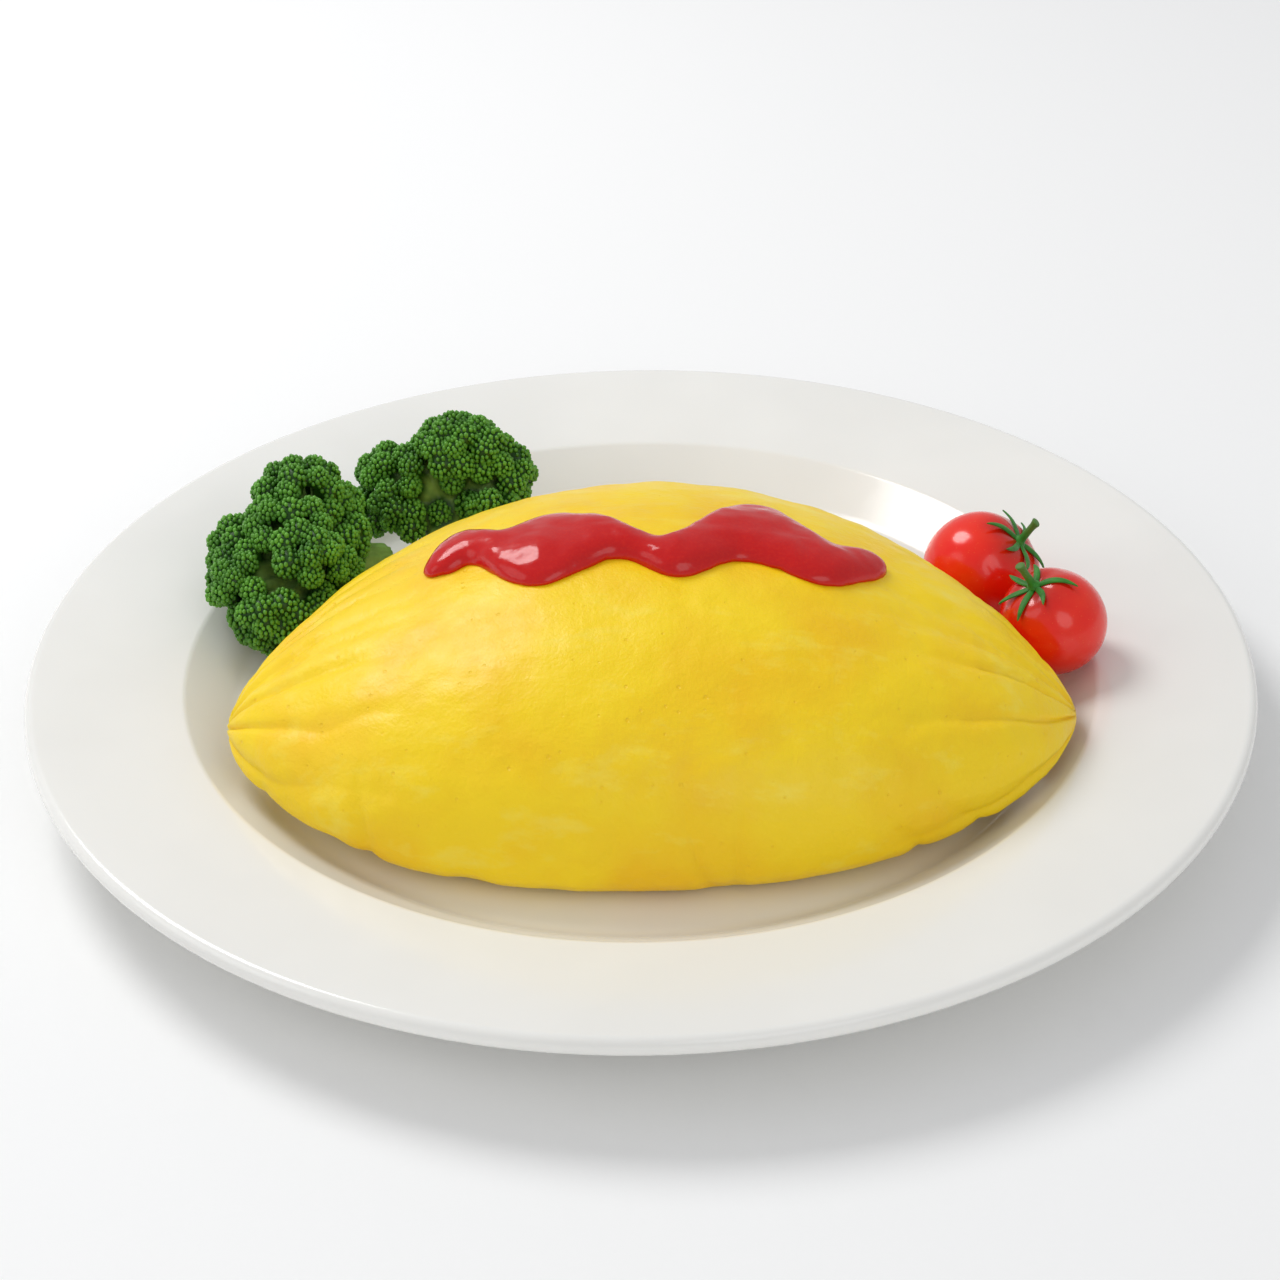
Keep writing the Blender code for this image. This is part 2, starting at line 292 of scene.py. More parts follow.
def add(tree, kind, inputs, **settings):
    """Adds a node, sets its options and inputs, and returns it. An input given as a socket is linked."""
    made = tree.nodes.new(kind)
    for key, value in settings.items():
        setattr(made, key, value)
    for key, value in inputs.items():
        put(tree, made.inputs[key], value)
    return made


def put(tree, socket, value):
    if isinstance(value, bpy.types.NodeSocket):
        tree.links.new(value, socket)
    elif socket.type == "RGBA" and len(value) == 3:
        socket.default_value = (*value, 1.0)
    else:
        socket.default_value = value


def shade(tree, shader, inputs):
    """Sets or links the inputs of a material's shader."""
    for key, value in inputs.items():
        put(tree, shader.inputs[key], value)


def grain(tree, place, millimetres, detail=3.0, roughness=0.5):
    """Cloudy noise whose lumps are this wide."""
    inputs = {"Vector": place, "Scale": 1 / (millimetres * MM), "Detail": detail, "Roughness": roughness}
    return add(tree, "ShaderNodeTexNoise", inputs).outputs["Fac"]


def stretch(tree, value, low, high, to_low=0.0, to_high=1.0):
    inputs = {"Value": value, "From Min": low, "From Max": high, "To Min": to_low, "To Max": to_high}
    return add(tree, "ShaderNodeMapRange", inputs).outputs["Result"]


def blend(tree, share, first, second):
    """The first colour where share is 0 and the second where it is 1."""
    inputs = {"Factor": share, "A": first, "B": second}
    return add(tree, "ShaderNodeMix", inputs, data_type="RGBA").outputs["Result"]


def relief(tree, height, millimetres, under=None):
    """Bump of this height, over an earlier bump if there is one."""
    inputs = {"Height": height, "Distance": millimetres * MM, "Strength": 1.0}
    if under is not None:
        inputs["Normal"] = under
    return add(tree, "ShaderNodeBump", inputs).outputs["Normal"]


def calculate(tree, operation, *values):
    made = tree.nodes.new("ShaderNodeMath")
    made.operation = operation
    for socket, value in zip(made.inputs, values):
        put(tree, socket, value)
    return made.outputs["Value"]


# ------------------------------------------------------------------------------------------------- finishes


def porcelain(settings):
    """Hard porcelain, cast, glazed and fired. The glaze looks wet, and a faint unevenness bends what it
    reflects. The foot ring that stood on the kiln shelf is bare, matt and slightly sandy."""
    made, tree, shader, place = new_material("glazed_porcelain")
    height = add(tree, "ShaderNodeSeparateXYZ", {"Vector": place}).outputs["Z"]
    foot = stretch(tree, height, 0.25 * MM, 0.7 * MM, 1.0, 0.0)
    pooled = stretch(tree, grain(tree, place, 38, 2.0), 0.35, 0.65)
    glaze = blend(tree, pooled, tuple(settings.glaze), tuple(0.965 * c for c in settings.glaze))
    sand = grain(tree, place, 0.4, 2.0)
    wave = relief(tree, grain(tree, place, 9, 1.0), 0.035)
    shade(
        tree,
        shader,
        {
            "Base Color": blend(tree, foot, glaze, tuple(settings.bare)),
            "Roughness": stretch(tree, foot, 0, 1, 0.15, 0.75),
            "IOR": 1.52,
            "Subsurface Weight": 0.05,
            "Subsurface Radius": (1.0, 0.9, 0.8),
            "Subsurface Scale": 2 * MM,
            "Normal": relief(tree, calculate(tree, "MULTIPLY", sand, foot), 0.05, wave),
        },
    )
    return made


def cooked_egg(settings):
    """A thin sheet of beaten egg set in butter. It is satin where it is thick, with faint streaks of
    paler white, pin-holes left by steam and a thin film of butter."""
    made, tree, shader, place = new_material("cooked_egg")
    drawn_out = {"Vector": place, "Scale": (0.45, 1.0, 1.0)}
    along = add(tree, "ShaderNodeMapping", drawn_out).outputs["Vector"]
    streaks = stretch(tree, grain(tree, along, 7.5, 6.0, 0.62), 0.55, 0.7)
    cloud = stretch(tree, grain(tree, place, 24, 3.0), 0.42, 0.7)
    base = blend(tree, cloud, tuple(settings.bright), tuple(settings.deep))
    base = blend(tree, calculate(tree, "MULTIPLY", streaks, 0.45), base, tuple(settings.pale))
    cells = add(tree, "ShaderNodeTexVoronoi", {"Vector": place, "Scale": 1 / (2.6 * MM)})
    chosen = add(tree, "ShaderNodeSeparateColor", {"Color": cells.outputs["Color"]}).outputs["Red"]
    radius = stretch(tree, chosen, 0.55, 1.0, 0.0, 0.2)
    hole = stretch(tree, calculate(tree, "SUBTRACT", cells.outputs["Distance"], radius), -0.08, 0.02)
    pit = calculate(tree, "MULTIPLY", calculate(tree, "SUBTRACT", 1.0, hole), 0.6)
    base = blend(tree, pit, base, tuple(settings.deep))
    skin = relief(tree, grain(tree, place, 3.2, 4.0, 0.62), 0.28)
    skin = relief(tree, grain(tree, place, 0.8, 3.0), 0.05, skin)
    skin = relief(tree, hole, 0.12, skin)
    shade(
        tree,
        shader,
        {
            "Base Color": base,
            "Roughness": stretch(tree, grain(tree, place, 5, 3.0), 0.3, 0.7, 0.38, 0.54),
            "IOR": 1.42,
            "Subsurface Weight": 0.18,
            "Subsurface Radius": (0.8, 0.68, 0.08),
            "Subsurface Scale": 2.2 * MM,
            "Coat Weight": 0.1,
            "Coat Roughness": 0.25,
            "Normal": skin,
        },
    )
    return made


def thick_ketchup(settings):
    """Ketchup squeezed cold from a bottle: wet and smooth, with fine pulp just under the shine."""
    made, tree, shader, place = new_material("thick_ketchup")
    pulp = grain(tree, place, 0.7, 3.0)
    body = blend(tree, stretch(tree, pulp, 0.45, 0.95), tuple(settings.sauce), tuple(settings.thin))
    thin = add(tree, "ShaderNodeAttribute", {}, attribute_name="edge").outputs["Fac"]
    shade(
        tree,
        shader,
        {
            "Base Color": blend(tree, calculate(tree, "MULTIPLY", thin, 0.5), body, tuple(settings.thin)),
            "Roughness": stretch(tree, grain(tree, place, 4, 2.0), 0.3, 0.7, 0.14, 0.24),
            "IOR": 1.38,
            "Subsurface Weight": 0.08,
            "Subsurface Radius": (1.0, 0.1, 0.04),
            "Subsurface Scale": 1.0 * MM,
            "Coat Weight": 0.15,
            "Coat Roughness": 0.06,
            "Normal": relief(tree, pulp, 0.02, relief(tree, grain(tree, place, 3.5, 2.0), 0.14)),
        },
    )
    return made


def broccoli_buds(settings):
    """Closed flower buds of steamed broccoli: deep green, each a little different, with painted light, and a
    waxy bloom.
    """
    made, tree, shader, place = new_material("broccoli_buds")
    tone_and_shade = add(tree, "ShaderNodeAttribute", {}, attribute_name="tone_and_shade").outputs["Fac"]
    mottle = stretch(tree, grain(tree, place, 0.6, 2.0), 0.3, 0.7, -0.15, 0.15)
    shade(
        tree,
        shader,
        {
            "Base Color": blend(
                tree, calculate(tree, "ADD", tone_and_shade, mottle), tuple(settings.dark), tuple(settings.bright)
            ),
            "Roughness": 0.5,
            "IOR": 1.42,
            "Subsurface Weight": 0.1,
            "Subsurface Radius": (0.4, 1.0, 0.2),
            "Subsurface Scale": 0.6 * MM,
            "Coat Weight": 0.12,
            "Coat Roughness": 0.3,
            "Normal": relief(tree, grain(tree, place, 0.35, 2.0), 0.05),
        },
    )
    return made


def broccoli_stem(settings):
    """Peeled broccoli stalk and branches: pale, wet and finely ribbed along their length. Where the buds
    crowd together the flesh is green, painted darker than the darkest buds as painted shade between them."""
    made, tree, shader, place = new_material("broccoli_stem")
    crown = add(tree, "ShaderNodeAttribute", {}, attribute_name="crown").outputs["Fac"]
    cloud = stretch(tree, grain(tree, place, 3, 3.0), 0.3, 0.7)
    stem = blend(tree, cloud, tuple(settings.stem), tuple(0.72 * c for c in settings.stem))
    shade(
        tree,
        shader,
        {
            # Painted shade: near the heads the stalk colour is blended to 0.6 of the dark bud colour.
            "Base Color": blend(tree, crown, stem, tuple(0.6 * c for c in settings.dark)),
            "Roughness": stretch(tree, cloud, 0, 1, 0.38, 0.52),
            "IOR": 1.4,
            "Subsurface Weight": 0.15,
            "Subsurface Radius": (0.5, 1.0, 0.3),
            "Subsurface Scale": 1.5 * MM,
            "Normal": relief(tree, grain(tree, place, 0.9, 3.0), 0.12),
        },
    )
    return made


def tomato_skin(settings, name, stem_end):
    """Ripe cherry tomato: a tight, waxed skin over wet flesh, darker round the stem and finely flecked."""
    made, tree, shader, place = new_material(name)
    ends = {0: place, 1: tuple(stem_end)}
    away = add(tree, "ShaderNodeVectorMath", ends, operation="DISTANCE").outputs["Value"]
    near = stretch(tree, away, 3 * MM, 11 * MM, 1.0, 0.0)
    red = blend(tree, near, tuple(settings.red), tuple(settings.shoulder))
    cloud = stretch(tree, grain(tree, place, 6, 3.0), 0.35, 0.75)
    red = blend(tree, calculate(tree, "MULTIPLY", cloud, 0.35), red, linear("#f0400f"))
    cells = add(tree, "ShaderNodeTexVoronoi", {"Vector": place, "Scale": 1 / (0.9 * MM)})
    fleck = stretch(tree, cells.outputs["Distance"], 0.05, 0.16, 0.4, 0.0)
    shade(
        tree,
        shader,
        {
            "Base Color": blend(tree, fleck, red, linear("#f7792f")),
            "Roughness": 0.2,
            "IOR": 1.45,
            "Subsurface Weight": 0.12,
            "Subsurface Radius": (1.0, 0.2, 0.08),
            "Subsurface Scale": 2.5 * MM,
            "Coat Weight": 0.2,
            "Coat Roughness": 0.05,
            "Normal": relief(tree, grain(tree, place, 2.2, 2.0), 0.035),
        },
    )
    return made


def tomato_leaf(settings):
    """Fresh sepals and stem: soft green, mottled and slightly hairy, turning olive up the stem."""
    made, tree, shader, place = new_material("tomato_leaf")
    stalk = add(tree, "ShaderNodeAttribute", {}, attribute_name="stalk").outputs["Fac"]
    cloud = stretch(tree, grain(tree, place, 1.6, 4.0), 0.3, 0.7)
    green = blend(tree, cloud, tuple(settings.leaf), tuple(0.6 * c for c in settings.leaf))
    shade(
        tree,
        shader,
        {
            "Base Color": blend(tree, stalk, green, tuple(settings.stalk)),
            "Roughness": 0.55,
            "IOR": 1.42,
            "Sheen Weight": 0.15,
            "Subsurface Weight": 0.1,
            "Subsurface Radius": (0.4, 1.0, 0.2),
            "Subsurface Scale": 0.5 * MM,
            "Normal": relief(tree, grain(tree, place, 0.5, 3.0), 0.08),
        },
    )
    return made


def table_top(settings):
    """A pale painted table: matt, with a fine tooth."""
    made, tree, shader, place = new_material("pale_table")
    fine = grain(tree, place, 1.5, 2.0)
    shade(
        tree,
        shader,
        {
            "Base Color": blend(tree, fine, tuple(settings.floor), tuple(0.99 * c for c in settings.floor)),
            "Roughness": 0.7,
            "Normal": relief(tree, fine, 0.02),
        },
    )
    return made


# ---------------------------------------------------------------------------------------------------- plate


def rounded(corners):
    """The points of an outline with its corners rounded. A corner is (radius, height, fillet, segments)."""
    points = [Vector(corners[0][:2])]
    for before, corner, after in zip(corners, corners[1:], corners[2:]):
        at, fillet, segments = Vector(corner[:2]), corner[2], corner[3]
        back = (Vector(before[:2]) - at).normalized()
        ahead = (Vector(after[:2]) - at).normalized()
        half = back.angle(ahead) / 2
        start = back * (fillet / math.tan(half))
        end = ahead * (fillet / math.tan(half))
        centre = (back + ahead).normalized() * (fillet / math.sin(half))
        for i in range(segments + 1):
            spoke = (start - centre).slerp(end - centre, i / segments)
            points.append(at + centre + spoke.normalized() * fillet)
    points.append(Vector(corners[-1][:2]))
    return points


def plate_outline(settings):
    """From the middle of the well over the rim and back under to the middle, as rounded corners."""
    radius, height = PLATE_RADIUS, RIM_HEIGHT
    shoulder = height - settings.rim_rise
    under = UNDERSIDE
    lip = settings.rim_thickness / 2 - 0.2 * MM
    foot_inner = settings.foot_radius - FOOT_WIDTH
    return rounded(
        [
            (0, WELL_FLOOR, 0, 0),
            (settings.floor_radius, WELL_FLOOR, 9 * MM, 8),
            (settings.shoulder_radius, shoulder, 3.2 * MM, 7),
            (radius, height, lip, 7),
            (radius, height - settings.rim_thickness, lip, 7),
            (settings.shoulder_radius + 2 * MM, shoulder - settings.rim_thickness, 7 * MM, 6),
            (settings.floor_radius + 2 * MM, under, 6 * MM, 6),
            (settings.foot_radius + 1 * MM, under, FOOT_FILLET, 4),
            (settings.foot_radius, 0, FOOT_FILLET, 4),
            (foot_inner, 0, FOOT_FILLET, 4),
            (foot_inner - 1 * MM, under, FOOT_FILLET, 4),
            (0, under, 0, 0),
        ]
    )


def with_loops(points, step):
    """The same outline with more points on its long straight runs."""
    result = [points[0]]
    for before, after in zip(points, points[1:]):
        count = max(1, round((after - before).length / step))
        result += [before.lerp(after, (i + 1) / count) for i in range(count)]
    return result


def build_plate(settings):
    """One vertex is drawn along the outline and spun round the middle."""
    outline = with_loops(plate_outline(settings), 8 * MM)
    bpy.ops.mesh.primitive_plane_add(size=1 * MM)
    plate = named_active("plate_porcelain")
    bpy.ops.object.mode_set(mode="EDIT")
    bpy.ops.mesh.merge(type="CENTER")
    bpy.ops.transform.translate(value=(outline[0].x, 0, outline[0].y))
    for before, after in zip(outline, outline[1:]):
        step = after - before
        bpy.ops.mesh.extrude_region_move(TRANSFORM_OT_translate={"value": (step.x, 0, step.y)})
    bpy.ops.mesh.select_all(action="SELECT")
    bpy.ops.mesh.spin(steps=TURNS, angle=2 * math.pi, center=(0, 0, 0), axis=(0, 0, 1))
    bpy.ops.mesh.select_all(action="SELECT")
    bpy.ops.mesh.remove_doubles(threshold=0.01 * MM)
    bpy.ops.mesh.normals_make_consistent(inside=False)
    leave_edit()
    return finish_piece(plate, porcelain(settings), "plate", "plate")


# ------------------------------------------------------------------------------------------------- omelette


def omelette_relief(settings, point):
    """How far the skin stands out here: soft lumps, gathers that run into the tips, and small pleats
    along the foot of the front."""
    middle = (OMELETTE_LOW + OMELETTE_HIGH) / 2
    along = (point.x - middle.x) / (OMELETTE_HIGH.x - middle.x)
    axis_y = middle.y - OMELETTE_BEND * along**2
    turn = math.atan2(point.z - WELL_FLOOR - BELLY_HEIGHT, point.y - axis_y)
    above = point.z - WELL_FLOOR
    lumps = settings.lump_height * noise.noise(point / LUMP_WIDTH + Vector((7.3, 1.1, 4.2)))
    lumps += 0.35 * settings.lump_height * noise.noise(point / SMALL_LUMP_WIDTH)
    grain_place = (point.x / GRAIN_LENGTH, point.y / GRAIN_WIDTH, point.z / GRAIN_WIDTH)
    lumps += settings.grain_height * (1 - 2 * abs(noise.noise(Vector(grain_place))))
    around = Vector((GATHERS * math.cos(turn), GATHERS * math.sin(turn), 0.5 * along))
    around += 0.16 * noise.noise_vector(point / GATHER_WAVE)
    ridge = 1 - abs(noise.noise(around)) * 3.0
    gather = -settings.fold_depth * max(0.0, ridge) ** 2 * smoothstep(0.4, 0.86, abs(along))
    side = smoothstep(-12 * MM, -35 * MM, point.y - axis_y)
    pleat = noise.noise(Vector((point.x / PLEAT_SPACING, point.z / PLEAT_HEIGHT, 2.7)))
    crease = -PLEAT_DEPTH * max(0.0, 1 - abs(pleat) * 4) ** 2
    foot = crease * side * smoothstep(26 * MM, 8 * MM, above) * smoothstep(0.5 * MM, 4 * MM, above)
    return (lumps + gather) * smoothstep(0.3 * MM, 6 * MM, above) + foot


def build_omelette(settings):
    """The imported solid, smoothed finely, then worked over like clay."""
    omelette = copy_of("omelette", "omelette_skin")
    subdivide(omelette, 3)
    noise.seed_set(5)  # noise_vector would differ from run to run without it
    moved = [(v, v.normal.copy(), omelette_relief(settings, v.co)) for v in omelette.data.vertices]
    for vertex, normal, distance in moved:
        vertex.co += normal * distance
    return finish_piece(omelette, cooked_egg(settings), "egg", "omelette")


# -------------------------------------------------------------------------------------------------- ketchup


def build_ketchup(settings):
    """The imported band, smoothed finely, laid on the worked skin of the omelette and faintly rippled."""
    band = copy_of("ketchup", "ketchup_band")
    subdivide(band, 3)
    coarse = surface_tree(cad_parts["omelette"])
    fine = surface_tree(bpy.data.objects["omelette_skin"])
    normals = [vertex.normal.copy() for vertex in band.data.vertices]
    for vertex, normal in zip(band.data.vertices, normals):
        vertex.co += normal * settings.fullness
    edge = band.data.attributes.new("edge", "FLOAT", "POINT")
    down = Vector((0, 0, -1))
    for vertex, mark in zip(band.data.vertices, edge.data):
        above = Vector((vertex.co.x, vertex.co.y, 1))
        flat = coarse.ray_cast(above, down)[0]
        worked = fine.ray_cast(above, down)[0]
        thickness = vertex.co.z - flat.z
        x, y = vertex.co.xy / MM
        ripple = noise.noise(Vector((x / 7, y / 13, 0.4)))
        ripple += 0.5 * noise.noise(Vector((x / 3.4, y / 6, 5.4)))
        share = smoothstep(1 * MM, 3.5 * MM, thickness)
        vertex.co.z = worked.z + thickness - settings.sink + settings.ripple * ripple * share
        mark.value = 1 - smoothstep(0.4 * MM, 2.2 * MM, thickness)
    return finish_piece(band, thick_ketchup(settings), "ketchup", "ketchup")


# ------------------------------------------------------------------------------------------------- broccoli


def scattered_on(obj, spacing, wanted, seed):
    """Points on the surface, no two nearer than spacing, where wanted(point, normal) is true."""
    chance = random.Random(seed)
    mesh = obj.data
    mesh.calc_loop_triangles()
    triangles = list(mesh.loop_triangles)
    weights = [triangle.area for triangle in triangles]
    kept = []
    for triangle in chance.choices(triangles, weights, k=TRIES):
        a, b, c = (mesh.vertices[i].co for i in triangle.vertices)
        u, v = chance.random(), chance.random()
        if u + v > 1:
            u, v = 1 - u, 1 - v
        point = a + (b - a) * u + (c - a) * v
        if not wanted(point, triangle.normal):
            continue
        if all((point - other[0]).length > spacing for other in kept):
            kept.append((point, triangle.normal.copy()))
    return kept


def bud_shape(size):
    """One bud: a rough bead, a little longer than it is wide."""
    bpy.ops.mesh.primitive_ico_sphere_add(subdivisions=1, radius=size / 2)
    bud = named_active("one_bud")
    bud.scale.z = 1.3
    fix_place(bud)
    bpy.ops.object.shade_smooth()
    return bud


def bud_nodes(bud):
    """Sets a copy of the bud on every point, standing along the point's own direction."""
    tree = bpy.data.node_groups.new("set_buds", "GeometryNodeTree")
    tree.interface.new_socket("Geometry", in_out="INPUT", socket_type="NodeSocketGeometry")
    tree.interface.new_socket("Geometry", in_out="OUTPUT", socket_type="NodeSocketGeometry")
    points = tree.nodes.new("NodeGroupInput").outputs[0]
    facing = add(tree, "GeometryNodeInputNamedAttribute", {"Name": "facing"}, data_type="FLOAT_VECTOR")
    size = add(tree, "GeometryNodeInputNamedAttribute", {"Name": "size"}, data_type="FLOAT")
    direction = {"Vector": facing.outputs["Attribute"]}
    turn = add(tree, "FunctionNodeAlignRotationToVector", direction, axis="Z")
    shape = add(tree, "GeometryNodeObjectInfo", {"Object": bud})
    placed = add(
        tree,
        "GeometryNodeInstanceOnPoints",
        {
            "Points": points,
            "Instance": shape.outputs["Geometry"],
            "Rotation": turn.outputs["Rotation"],
            "Scale": size.outputs["Attribute"],
        },
    )
    real = add(tree, "GeometryNodeRealizeInstances", {"Geometry": placed.outputs["Instances"]})
    out = tree.nodes.new("NodeGroupOutput")
    tree.links.new(real.outputs["Geometry"], out.inputs[0])
    return tree


def heads_of(solid, foot, settings, seed):
    """The small heads that cover a crown, as centre, direction, radius and random colour lean. There is none
    on the stalk, or under the crown near it."""

    def on_crown(point, normal):
        to_foot = foot - point
        return to_foot.length > BARE_STALK and normal.dot(to_foot.normalized()) < 0.72

    chance = random.Random(seed)
    heads = []
    for point, normal in scattered_on(solid, settings.head_spacing, on_crown, seed):
        radius = chance.uniform(*HEAD_RADII) * MM
        centre = point - normal * (radius - HEAD_STANDS_OUT)
        heads.append((centre, normal, radius, chance.uniform(-0.16, 0.16)))
    return heads


def buds_of(heads, settings, seed):
    """A place, direction, size and colour with painted light for each bud on the outer side of every head.
    """
    chance = random.Random(seed)
    spiral = math.pi * (3 - math.sqrt(5))
    buds = []
    for i, (centre, normal, radius, lean) in enumerate(heads):
        frame_turn = Vector((0, 0, 1)).rotation_difference(normal)
        for k in range(settings.buds_per_head):
            up = 1 - 1.15 * (k + 0.5) / settings.buds_per_head
            flat = math.sqrt(max(0.0, 1 - up * up))
            around = k * spiral + i
            facing = Vector((flat * math.cos(around), flat * math.sin(around), up))
            facing += 0.07 * Vector([chance.uniform(-1, 1) for _ in range(3)])
            facing = frame_turn @ facing.normalized()
            at = centre + facing * radius
            others = (other for j, other in enumerate(heads) if j != i)
            if all((at - other[0]).length >= other[2] - 0.25 * MM for other in others):
                # Painted light and shade: a bud is brighter the more it faces out from its head; the head's
                # lean and the last term are random.
                tone_and_shade = 0.25 + 0.45 * max(0.0, up) + lean + chance.uniform(-0.12, 0.12)
                buds.append((at, facing, chance.uniform(0.8, 1.12), tone_and_shade))
    return buds


def build_buds(name, buds, settings, material):
    mesh = bpy.data.meshes.new(name)
    mesh.from_pydata([bud[0] for bud in buds], [], [])
    facing = mesh.attributes.new("facing", "FLOAT_VECTOR", "POINT")
    size = mesh.attributes.new("size", "FLOAT", "POINT")
    tone_and_shade = mesh.attributes.new("tone_and_shade", "FLOAT", "POINT")
    for i, (_, direction, scale, shade_value) in enumerate(buds):
        facing.data[i].vector = direction
        size.data[i].value = scale
        tone_and_shade.data[i].value = shade_value
    made = bpy.data.objects.new(name, mesh)
    bpy.context.scene.collection.objects.link(made)
    bud = bud_shape(settings.bud_size)
    apply_modifier(made, "NODES", node_group=bud_nodes(bud))
    bpy.data.objects.remove(bud)
    for unused in ("facing", "size"):
        if unused in made.data.attributes:
            made.data.attributes.remove(made.data.attributes[unused])
    return finish_piece(made, material, "broccoli")


def tapered(start, end, start_radius, end_radius, sides):
    """A closed taper from one point to another."""
    along = end - start
    bpy.ops.mesh.primitive_cone_add(
        vertices=sides,
        radius1=start_radius,
        radius2=end_radius,
        depth=along.length,
        location=(start + end) / 2,
        rotation=along.to_track_quat("Z", "Y").to_euler(),
    )
    made = bpy.context.object
    fix_place(made)
    return made


def build_stem(name, heads, foot, fork, settings, material, node):
    """The cut stalk, its branches and the flesh under the buds, blended into one skin."""
    pieces = [tapered(foot, fork, *STALK_RADII, 18)]
    for centre, _, radius, _ in heads:
        pieces.append(tapered(fork, centre, *BRANCH_RADII, 7))
        bpy.ops.mesh.primitive_ico_sphere_add(subdivisions=2, radius=0.93 * radius, location=centre)
        fix_place(bpy.context.object)
        pieces.append(bpy.context.object)
    stem = join(pieces, name)
    apply_modifier(stem, "REMESH", mode="VOXEL", voxel_size=VOXEL)
    apply_modifier(stem, "SMOOTH", factor=0.5, iterations=3)
    tree = KDTree(len(heads))
    for i, head in enumerate(heads):
        tree.insert(head[0], i)
    tree.balance()
    crown = stem.data.attributes.new("crown", "FLOAT", "POINT")
    axis = (fork - foot).normalized()
    normals = [vertex.normal.copy() for vertex in stem.data.vertices]
    for vertex, normal, mark in zip(stem.data.vertices, normals, crown.data):
        near = tree.find(vertex.co)[2]
        # Marks the flesh within about 3 to 5 mm of a head's centre for the painted shade.
        mark.value = 1 - smoothstep(3.2 * MM, 5.2 * MM, near)
        off = vertex.co - foot
        turn = math.atan2(off.cross(axis).z, off.dot(axis.orthogonal()))
        vertex.co += normal * 0.14 * MM * math.sin(11 * turn) * (1 - mark.value)
    return finish_piece(stem, material, "broccoli", node)


# ------------------------------------------------------------------------------------------------- tomatoes


def tomato_axis(node):
    """The middle of a tomato, and the way from it to the middle of its calyx."""
    low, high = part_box(node)
    leaf_low, leaf_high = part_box(node + "_calyx")
    centre = (low + high) / 2
    return centre, ((leaf_low + leaf_high) / 2 - centre).normalized()


def build_tomato(node, settings):
    """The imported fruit, smoothed finely, with five faint shoulders round the dimple."""
    centre, axis = tomato_axis(node)
    fruit = copy_of(node, node + "_fruit")
    subdivide(fruit, 3)
    level = axis.rotation_difference(Vector((0, 0, 1)))
    for vertex in fruit.data.vertices:
        spot = level @ (vertex.co - centre)
        around = math.atan2(spot.y, spot.x)
        height = spot.z / spot.length
        shoulder = 0.16 * MM * math.cos(5 * around) * smoothstep(0.2, 0.85, height)
        soft = 0.18 * MM * noise.noise(spot / (11 * MM))
        vertex.co += (vertex.co - centre).normalized() * (shoulder + soft)
    reach = surface_tree(fruit).ray_cast(centre + axis * FAR, -axis)[0]
    return finish_piece(fruit, tomato_skin(settings, node + "_skin", reach), "tomato", node)


def sepal(skin, centre, turn, around, size, lift, settings):
    """One narrow leaf that starts at the stem, follows the fruit and curls up at its tip."""
    bpy.ops.mesh.primitive_grid_add(x_subdivisions=14, y_subdivisions=4, size=2)
    leaf = bpy.context.object
    bend = 0.3 * math.sin(7 * around)
    for vertex in leaf.data.vertices:
        t, side = (vertex.co.x + 1) / 2, vertex.co.y
        width = settings.sepal_width / 2 * (0.55 + 1.4 * t) * (1 - t) ** 0.75
        out = 0.6 * MM + t * size * settings.sepal_length
        at_angle = around + bend * t * t
        flat = Vector((math.cos(at_angle), math.sin(at_angle), 0)) * out
        flat += Vector((-math.sin(at_angle), math.cos(at_angle), 0)) * width * side
        above = centre + turn @ (flat + Vector((0, 0, 25 * MM)))
        hit = skin.ray_cast(above, turn @ Vector((0, 0, -1)))[0] or centre
        rise = 0.35 * MM + lift * t**2.4 * 2.6 * MM - 0.35 * MM * side * side * (1 - t)
        vertex.co = hit + (hit - centre).normalized() * rise
    apply_modifier(leaf, "SOLIDIFY", thickness=0.38 * MM, offset=0.0)
    subdivide(leaf, 1)
    return leaf


# The steps in which the stub of a stem is drawn up: share of its length, and how much it widens.
STUB_STEPS = ((0.08, 0.62), (0.2, 0.85), (0.3, 0.97), (0.22, 1.0), (0.12, 1.35), (0.08, 1.05))


def stem_stub(base, axis, lean, settings):
    """The stub of the stem: a round base drawn up in short steps, with a thicker broken end."""
    bpy.ops.mesh.primitive_cylinder_add(vertices=12, radius=1.7 * MM, depth=0.6 * MM)
    stub = bpy.context.object
    bpy.ops.object.mode_set(mode="EDIT")
    bpy.ops.mesh.select_all(action="DESELECT")
    leave_edit()
    for face in stub.data.polygons:
        face.select = face.normal.z > 0.9
    bpy.ops.object.mode_set(mode="EDIT")
    rise = settings.stem_length
    for step, width in STUB_STEPS:
        move = (lean * rise * step, 0, rise * step)
        bpy.ops.mesh.extrude_region_move(TRANSFORM_OT_translate={"value": move})
        bpy.ops.transform.resize(value=(width, width, 1))
    leave_edit()
    subdivide(stub, 2)
    turn = Vector((0, 0, 1)).rotation_difference(axis).to_matrix().to_4x4()
    stub.matrix_world = Matrix.Translation(base) @ turn
    fix_place(stub)
    return stub


